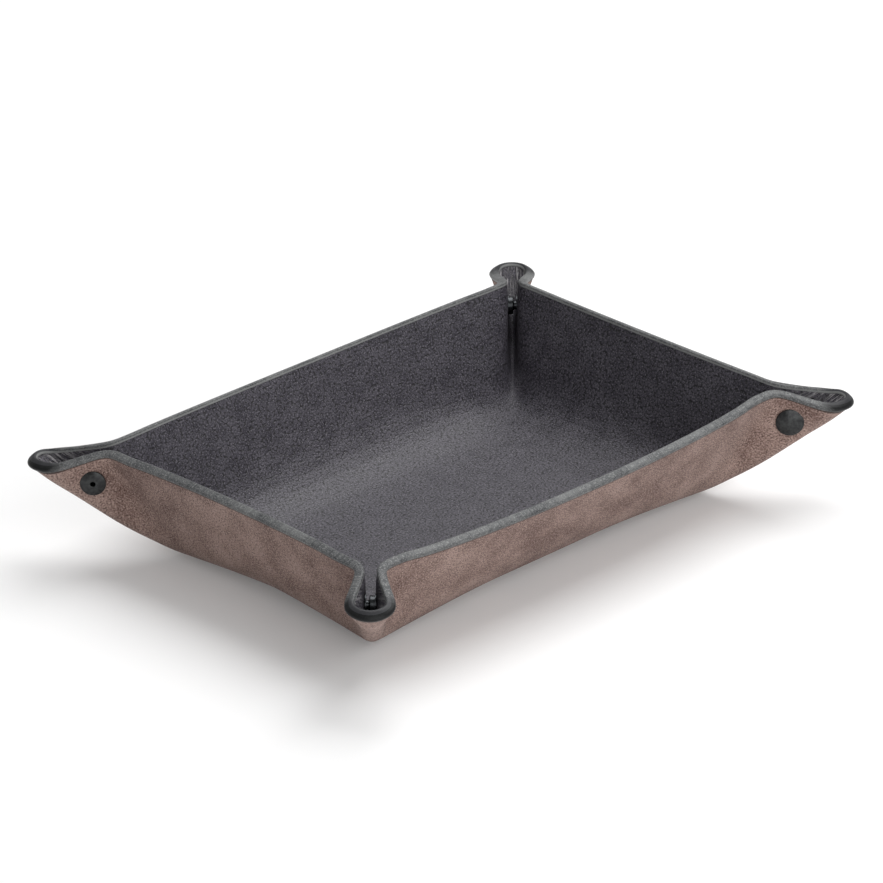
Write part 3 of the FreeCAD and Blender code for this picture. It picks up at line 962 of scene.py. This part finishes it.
@dataclass(frozen=True)
class SheetFinish(PatternedFinish):
    """A finish of the leather sheet, which reads the flat place of each point in millimetres."""

    sheet_half: tuple[float, float]
    corner_round: float

    def millimetres(self, tree: bpy.types.NodeTree, chart: str) -> bpy.types.NodeSocket:
        """Read one of the leather's maps, in millimetres.

        Args:
            tree: The material's node tree.
            chart: The map's name.

        Returns:
            The place.
        """
        spot = add_node(tree, "UVMap", uv_map=chart)
        scale = 2 * self.sheet_half[0] / MM
        return add_node(tree, "Mapping", {"Vector": spot, "Location": (-scale / 2, -scale / 2, 0),
                                          "Scale": (scale, scale, scale)})

    def from_edge(self, tree: bpy.types.NodeTree, place: bpy.types.NodeSocket) -> bpy.types.NodeSocket:
        """How far inside the sheet's outline a flat place is, in millimetres.

        Args:
            tree: The material's node tree.
            place: The flat place, in millimetres.

        Returns:
            The distance.
        """
        radius = self.corner_round / MM
        centre = (self.sheet_half[0] / MM - radius, self.sheet_half[1] / MM - radius, 0)
        near = add_node(tree, "VectorMath", {0: place}, operation="ABSOLUTE")
        over = add_node(tree, "VectorMath", {0: near, 1: centre}, operation="SUBTRACT")
        rounded = add_node(tree, "VectorMath", {0: over, 1: (0, 0, 0)}, operation="MAXIMUM")
        reach = add_node(tree, "VectorMath", {0: rounded}, "Value", operation="LENGTH")
        parts = add_node(tree, "SeparateXYZ", {0: over}).node.outputs
        nearer = add_node(tree, "Math", {0: parts[0], 1: parts[1]}, operation="MAXIMUM")
        inside = add_node(tree, "Math", {0: nearer, 1: 0.0}, operation="MINIMUM")
        rounded_off = add_node(tree, "Math", {0: radius, 1: reach}, operation="SUBTRACT")
        return add_node(tree, "Math", {0: rounded_off, 1: inside}, operation="SUBTRACT")


@dataclass(frozen=True)
class BuffedCowhide(SheetFinish):
    """The brown outer leather: cowhide with its grain lightly buffed off, soft and matt.

    It gives a taupe face, speckled all over with dark pores and pale worn tips, and faint clouds
    where the dye took unevenly. Beside the painted edge runs a line of painted shade, where the
    bead's shadow falls; it widens and turns near black at the ears' tips. The grain is drawn about
    twice as large as the real one, which is too fine to show.
    """

    name: str = "buffed_cowhide_taupe"
    dark: str = "6c544d"
    light: Coat = Coat("9c847b", 0.39, 0.61)
    pores: Coat = Coat("33231f", 0.49, 0.33, 0.8)
    tips: Coat = Coat("bda69c", 0.51, 0.68, 0.6)
    # painted shade: the near black that the line beside the edge turns at the ears' tips
    ink: Coat = Coat("17181a")
    grain: Spots = Spots(0.8, 2.0, 0.6)
    nap: Spots = Spots(0.5)
    cloud: Spots = Spots(12.0, 5.0, 0.62)
    broad: Spots = Spots(60.0, 1.0)
    broad_share: float = 0.4
    pebble: float = 1.35
    depth: float = 0.26 * MM
    relief: tuple[float, ...] = (-0.5, 1.6, 0.3)
    smooth: float = 0.72
    rough: float = 0.88
    # the line of painted shade beside the painted edge: its width in millimetres, its width at the ears, its
    # soft margin and its strength
    line: float = 1.35
    line_at_ear: float = 2.6
    line_soft: float = 0.35
    line_strength: float = 0.85
    ear_start: float = 59.0
    ear_full: float = 68.0

    def build(self) -> bpy.types.Material:
        """Make the material.

        Returns:
            The material.
        """
        material, tree, shader = self.start(roughness=0.8, ior=1.4, sheen_weight=0.06, sheen_roughness=0.5)
        place = self.millimetres(tree, "sheet")
        grain, nap, cloud, broad = (add_node(tree, "TexNoise", spots.feeds(place))
                                    for spots in (self.grain, self.nap, self.cloud, self.broad))
        pebbles = add_node(tree, "TexVoronoi", {"Vector": place, "Scale": 1 / self.pebble, "Randomness": 0.95},
                           "Distance", voronoi_dimensions="2D")
        shade = add_node(tree, "Mix", {0: self.broad_share, 2: cloud, 3: broad})
        ground = self.layers((self.light, shade), (self.pores, grain), (self.tips, grain))
        way = add_node(tree, "SeparateXYZ", {0: self.millimetres(tree, "corner")})
        at_ear = add_node(tree, "MapRange", {0: way, 1: self.ear_start, 2: self.ear_full})
        # a line of painted shade beside the painted edge, where the bead's shadow falls; it widens and turns
        # near black at the ears' tips
        line = add_node(tree, "MapRange", {0: at_ear, 3: self.line, 4: self.line_at_ear})
        beyond = add_node(tree, "Math", {0: line, 1: self.from_edge(tree, place)}, operation="SUBTRACT")
        edge_shade_line = add_node(tree, "MapRange", {0: beyond, 1: -self.line_soft, 2: 0.0, 4: self.line_strength})
        tone = self.ink.over(colour(self.pores.code), at_ear)
        ground = add_node(tree, "Mix", {0: edge_shade_line, 6: ground, 7: tone}, 2, data_type="RGBA")
        hollow = add_node(tree, "Math", {0: pebbles, 1: 2.0}, operation="POWER")
        self.close(shader, ground, hollow, grain, nap, worn=nap)
        return material


@dataclass(frozen=True)
class FinishedCalf(SheetFinish):
    """The black inner leather: smooth calf, dyed through and given a thin satin top coat.

    It gives a charcoal face with a violet cast, a tight speckled grain and a low soft shine.
    Where an ear pinches it, lengthwise creases stretch the coat and show paler. The grain is
    drawn about twice as large as the real one, which is too fine to show.
    """

    name: str = "finished_calf_black"
    dark: str = "34313a"
    light: Coat = Coat("4d4a52", 0.35, 0.65)
    pits: Coat = Coat("0e0d0f", 0.34, 0.66, 0.8)
    glints: Coat = Coat("8f8b93", 0.53, 0.69, 0.55)
    stretched: Coat = Coat("b4b1b3", strength=0.85)
    grain: float = 1.25
    fine: Spots = Spots(0.7)
    cloud: Spots = Spots(10.0, 4.0, 0.65)
    crease: Spots = Spots(1.15, 3.0, 0.7)
    crease_stretch: float = 0.13
    crease_range: tuple[float, float] = (0.47, 0.60)
    depth: float = 0.20 * MM
    relief: tuple[float, ...] = (-1.0, 0.6, 2.5)
    smooth: float = 0.46
    rough: float = 0.62
    ear_start: float = 52.0
    ear_full: float = 64.0

    def build(self) -> bpy.types.Material:
        """Make the material.

        Returns:
            The material.
        """
        material, tree, shader = self.start(roughness=0.5, ior=1.46, coat_weight=0.08, coat_roughness=0.4)
        place = self.millimetres(tree, "sheet")
        corner = self.millimetres(tree, "corner")
        grain = add_node(tree, "TexVoronoi", {"Vector": place, "Scale": 1 / self.grain, "Randomness": 1.0},
                         "Distance", voronoi_dimensions="2D")
        lengthwise = add_node(tree, "Mapping", {"Vector": corner, "Scale": (self.crease_stretch, 1.0, 1.0)})
        fine, cloud, creases = (add_node(tree, "TexNoise", spots.feeds(chart)) for spots, chart in (
            (self.fine, place), (self.cloud, place), (self.crease, lengthwise)))
        way = add_node(tree, "SeparateXYZ", {0: corner})
        at_ear = add_node(tree, "MapRange", {0: way, 1: self.ear_start, 2: self.ear_full})
        low, high = self.crease_range
        streak = add_node(tree, "MapRange", {0: creases, 1: low, 2: high, 4: at_ear})
        ground = self.layers((self.light, cloud), (self.pits, grain), (self.glints, fine),
                             (self.stretched, streak))
        hollow = add_node(tree, "Math", {0: grain, 1: 2.0}, operation="POWER")
        self.close(shader, ground, hollow, fine, streak, worn=cloud)
        return material


@dataclass(frozen=True)
class EdgePaint(SheetFinish):
    """The paint on the cut edge: acrylic edge paint, brushed on in coats and burnished.

    It gives a flat satin band whose coats let the fibres show as fine specks. On the black side a
    paler line of painted highlight runs along its inside, and on both sides painted shade darkens it towards
    the ears' tips.
    """

    inset: float
    name: str
    # the colour of the painted shade that darkens the band at the ears' tips
    pooled: str
    # how strong the painted highlight along the band's inside is
    rubbed: float
    dark: str = "434446"
    light: Coat = Coat("686969", 0.38, 0.62)
    fleck: Coat = Coat("a2a3a2", 0.50, 0.70, 0.5)
    fibre: Spots = Spots(0.7, 2.0)
    ripple: Spots = Spots(2.4)
    cloud: Spots = Spots(14.0, 2.0)
    # the width of the painted highlight along the band's inside, in millimetres
    rub_width: float = 0.5
    # how far the painted shade at the ears' tips darkens the band
    pool_strength: float = 0.96
    depth: float = 0.12 * MM
    relief: tuple[float, ...] = (1.0, 0.4)
    ear_start: float = 62.0
    ear_full: float = 67.0

    def build(self) -> bpy.types.Material:
        """Make the material.

        Returns:
            The material.
        """
        material, tree, shader = self.start(roughness=0.45, specular_ior_level=0.22)
        place = self.millimetres(tree, "sheet")
        way = add_node(tree, "SeparateXYZ", {0: self.millimetres(tree, "corner")})
        ripple, fibre, cloud = (add_node(tree, "TexNoise", spots.feeds(place))
                                for spots in (self.ripple, self.fibre, self.cloud))
        shade = add_node(tree, "Mix", {0: 0.5, 2: ripple, 3: cloud})
        inside = self.from_edge(tree, place)
        within = add_node(tree, "Math", {0: inside, 1: self.inset / MM}, operation="SUBTRACT")
        # painted shade: the band darkens towards the ears' tips
        tip_shade_coat = Coat(self.pooled, self.ear_start, self.ear_full, self.pool_strength)
        # painted highlight: a paler line along the inside of the band, in the colour of the fibre specks
        rub = Coat(self.fleck.code, -2 * self.rub_width, -self.rub_width, self.rubbed)
        ground = self.layers((self.light, shade), (self.fleck, fibre), (tip_shade_coat, way), (rub, within))
        self.close(shader, ground, ripple, fibre)
        return material


@dataclass(frozen=True)
class PlatedMetal(PatternedFinish):
    """Small pressed or drawn metal parts, plated or blackened and barrel polished.

    It gives them soft broad highlights and a few duller worn spots.
    """

    name: str
    dark: str
    light: str
    smooth: float
    rough: float
    rub: Spots = Spots(1.6 * MM)
    depth: float = 0.01 * MM
    relief: tuple[float, ...] = (1.0,)

    def build(self) -> bpy.types.Material:
        """Make the material.

        Returns:
            The material.
        """
        material, tree, shader = self.start(metallic=1.0)
        rub = add_node(tree, "TexNoise", self.rub.feeds(add_node(tree, "TexCoord", output="Object")))
        self.close(shader, self.layers((Coat(self.light, 0.35, 0.65), rub)), rub, worn=rub)
        return material


@dataclass(frozen=True)
class PaleFloor(Finish):
    """A matt white table, which the camera sees as white outside the tray's shadow."""

    name: str = "matt_white_laminate"
    tone: str = "f0f0f0"
    lift: float = 0.10

    def build(self) -> bpy.types.Material:
        """Make the material.

        Returns:
            The material.
        """
        material, tree, shader = self.start(roughness=0.9)
        shader.inputs["Base Color"].default_value = colour(self.tone)
        rays = add_node(tree, "LightPath").node.outputs
        seen = add_node(tree, "Math", {0: rays["Is Camera Ray"], 1: rays["Is Glossy Ray"]}, operation="MAXIMUM")
        glow = add_node(tree, "Math", {0: seen, 1: self.lift}, operation="MULTIPLY")
        lit = add_node(tree, "Emission", {"Strength": glow})
        both = add_node(tree, "AddShader", {0: shader.outputs[0], 1: lit})
        tree.links.new(both, tree.nodes["Material Output"].inputs["Surface"])
        return material


@dataclass
class FoldedLeather:
    """The tray's leather: both layers of the sheet, each with its main piece, flaps and ears."""

    fold: Fold
    cut: FlapCut
    rim: RimProfile

    def build(self) -> list[bpy.types.Object]:
        """Make and dress every leather piece, and tie the main pieces to the sheet's body.

        Returns:
            The pieces.
        """
        flat = FlatSheet(self.fold, self.cut, self.rim)
        bent = BentSheet(flat)
        chart = (self.fold.sheet_half, flat.corner_round)
        # Each side's paint darkens towards the ears' tips with painted shade; the black side's also has a paler
        # line of painted highlight along its inside.
        pooled = EdgePaint(*chart, self.rim.inset, "acrylic_edge_ink_pooled", "0b0c0d", 0.0)
        rubbed = EdgePaint(*chart, self.rim.inset, "acrylic_edge_ink_rubbed", "2f2f32", 0.6)
        finishes = {Layer.BROWN: (BuffedCowhide(*chart), pooled), Layer.BLACK: (FinishedCalf(*chart), rubbed)}
        made, below = [], {}
        for layer in Layer:
            materials = [finish.build() for finish in finishes[layer]]
            for owner, faces in sorted(flat.faces.items(), key=str):
                leather = LeatherPiece(layer, owner, bent, faces)
                piece = leather.build(*materials)
                self.tie(piece, leather)
                below.setdefault(owner, piece.name)
                made.append(piece)
        return made

    def tie(self, piece: bpy.types.Object, leather: LeatherPiece) -> None:
        """Tie a main piece to the sheet's body, and hide the nodes that a piece stands for.

        Args:
            piece: The piece.
            leather: What it was made from.
        """
        outer = leather.layer is Layer.BROWN
        f"{leather.layer.title}_leather"
        if leather.owner is None:
            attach(piece, "sheet")
            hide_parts("outer_leather" if outer else "lining")
            return
        corner, wall, share = leather.owner
        flap = f"{corner.title}_{wall.title}_flap"
        hinge = next(joint for joint in frame["joints"] if joint["child"] == flap)
        start, ridge = Vector(hinge["pos_m"]), Vector(hinge["axis"])
        ridge = ridge if ridge.z > 0 else -ridge
        if share is Share.EAR:
            still, moving = self.across_ear(leather, start, ridge)
        else:
            still, moving = (start + ridge * (way - self.cut.hinge_start)
                             for way in (self.cut.still_until, self.cut.moving_from))
        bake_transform(piece)
        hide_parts(f"{flap}_{'outer' if outer else 'lining'}")

    def across_ear(self, ear: LeatherPiece, start: Vector, ridge: Vector) -> tuple[Vector, Vector]:
        """Find where an ear begins to move and where it moves fully.

        Args:
            ear: The ear's leather.
            start: A point on the flap's hinge line.
            ridge: The unit direction along that line.

        Returns:
            The two points, so that the whole border on the hinge line stays still and all that is
            past fold_aside moves with the flap.
        """
        corner, wall, _ = ear.owner
        aside = self.cut.directions(corner)[1] * wall.value
        upward = (Vector((0, 0, 1)) - ridge * ridge.z).normalized()
        lean = upward * math.cos(self.cut.fold_lean) + aside * math.sin(self.cut.fold_lean)
        across = (lean - ridge * lean.dot(ridge)).normalized()
        bent = ear.bent
        beyond = np.abs(self.fold.corner_ways(*bent.flat.places[ear.used].T)[1])
        half = bent.normal[ear.used] * self.fold.thickness / 2
        reach = [(bent.middle[ear.used] + half * side - np.array(start)) @ np.array(across) for side in (-1, 1)]
        still = np.maximum(*reach)[beyond < self.cut.hinge_aside + self.fold.nudge].max()
        moving = np.minimum(*reach)[beyond > self.cut.fold_aside].min()
        LOG.info("an ear bends from %.2f to %.2f mm off its hinge line", still / MM, moving / MM)
        return start + across * float(still), start + across * float(moving)


@dataclass
class PressStuds:
    """The metal parts of the four press-studs, which keep their shapes and get their finishes."""

    blackened: PlatedMetal = PlatedMetal("brass_black_oxide", "333334", "424343", 0.28, 0.36)
    gunmetal: PlatedMetal = PlatedMetal("brass_gunmetal_plated", "2e3032", "434547", 0.22, 0.32)
    spring: PlatedMetal = PlatedMetal("spring_steel_drawn", "55575a", "6c6e71", 0.26, 0.38)

    def dress(self) -> list[str]:
        """Put each metal part's finish on it.

        Returns:
            The parts' names.
        """
        black, grey, steel = (finish.build() for finish in (self.blackened, self.gunmetal, self.spring))
        finishes = {"cap": black, "back": black, "socket": grey, "stud": grey, "ring_spring": steel}
        dressed = []
        for corner in Corner:
            for kind, finish in finishes.items():
                part = frame["nodes"][f"{corner.title}_{kind}"]
                for slot in part.material_slots:
                    slot.material = finish
                dressed.append(part.name)
        return dressed


@dataclass(frozen=True)
class Softbox:
    """A square soft light that faces the tray."""

    name: str
    place: tuple[float, float, float]
    size: float
    power: float

    def build(self) -> None:
        """Hang the light."""
        lamp = bpy.data.lights.new(self.name, "AREA")
        lamp.size, lamp.energy = self.size, self.power
        holder = bpy.data.objects.new(self.name, lamp)
        holder.location = self.place
        holder.rotation_euler = Vector(self.place).to_track_quat("Z", "Y").to_euler()
        bpy.context.scene.collection.objects.link(holder)


@dataclass
class Studio:
    """The table, the soft lights and the camera."""

    image_width: int = 883
    sensor: float = 36.0
    focal_pixels: float = 5500.0
    azimuth: float = math.radians(-44.97)
    elevation: float = math.radians(25.42)
    distance: float = 2395.56 * MM
    aim_right: float = 1.74 * MM
    aim_up: float = -36.55 * MM
    floor_size: float = 12.0
    world_strength: float = 0.30
    overhead: Softbox = Softbox("overhead_softbox", (0.75, 0.19, 1.50), 1.4, 27.0)
    front: Softbox = Softbox("front_softbox", (-0.40, -1.30, 0.55), 1.5, 13.0)

    def build(self) -> None:
        """Make the table, the lights and the camera."""
        self.floor()
        self.world()
        self.overhead.build()
        self.front.build()
        self.camera()

    def floor(self) -> None:
        """Make the table."""
        bpy.ops.mesh.primitive_plane_add(size=self.floor_size, location=(0, 0, 0))
        table = bpy.context.object
        table.name = "table"
        table.data.materials.append(PaleFloor().build())

    def world(self) -> None:
        """Make an even grey surround that the camera sees as white."""
        world = bpy.data.worlds.new("studio")
        world.use_nodes = True
        bpy.context.scene.world = world
        tree = world.node_tree
        seen = add_node(tree, "LightPath", output="Is Camera Ray")
        strength = add_node(tree, "MapRange", {0: seen, 3: self.world_strength, 4: 1.0})
        tree.links.new(strength, tree.nodes["Background"].inputs["Strength"])
        tree.nodes["Background"].inputs["Color"].default_value = (1, 1, 1, 1)

    def camera(self) -> None:
        """Set the camera at the photograph's angle and framing."""
        a, e = self.azimuth, self.elevation
        back = Vector((math.sin(a) * math.cos(e), -math.cos(a) * math.cos(e), math.sin(e)))
        right = Vector((math.cos(a), math.sin(a), 0))
        up = back.cross(right)
        lens = bpy.data.cameras.new("photo_camera")
        lens.sensor_width = self.sensor
        lens.lens = self.focal_pixels * self.sensor / self.image_width
        lens.clip_end = 50.0
        holder = bpy.data.objects.new("photo_camera", lens)
        turn = Matrix((right, up, back)).transposed().to_4x4()
        place = back * self.distance - right * self.aim_right - up * self.aim_up
        holder.matrix_world = Matrix.Translation(place) @ turn
        bpy.context.scene.collection.objects.link(holder)
        bpy.context.scene.camera = holder


def main() -> None:
    """Build the leather, dress the metal and set the studio, and log the pieces' names."""
    logging.basicConfig(level=logging.INFO, format="%(message)s")
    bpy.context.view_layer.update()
    bpy.ops.object.select_all(action="DESELECT")
    bpy.context.scene.view_settings.view_transform = "Standard"
    for piece in FoldedLeather(Fold(), FlapCut(), RimProfile()).build():
        LOG.info("leather piece %s, %d faces", piece.name, len(piece.data.polygons))
    for name in PressStuds().dress():
        LOG.info("metal part %s", name)
    Studio().build()


if __name__ == "__main__":
    main()
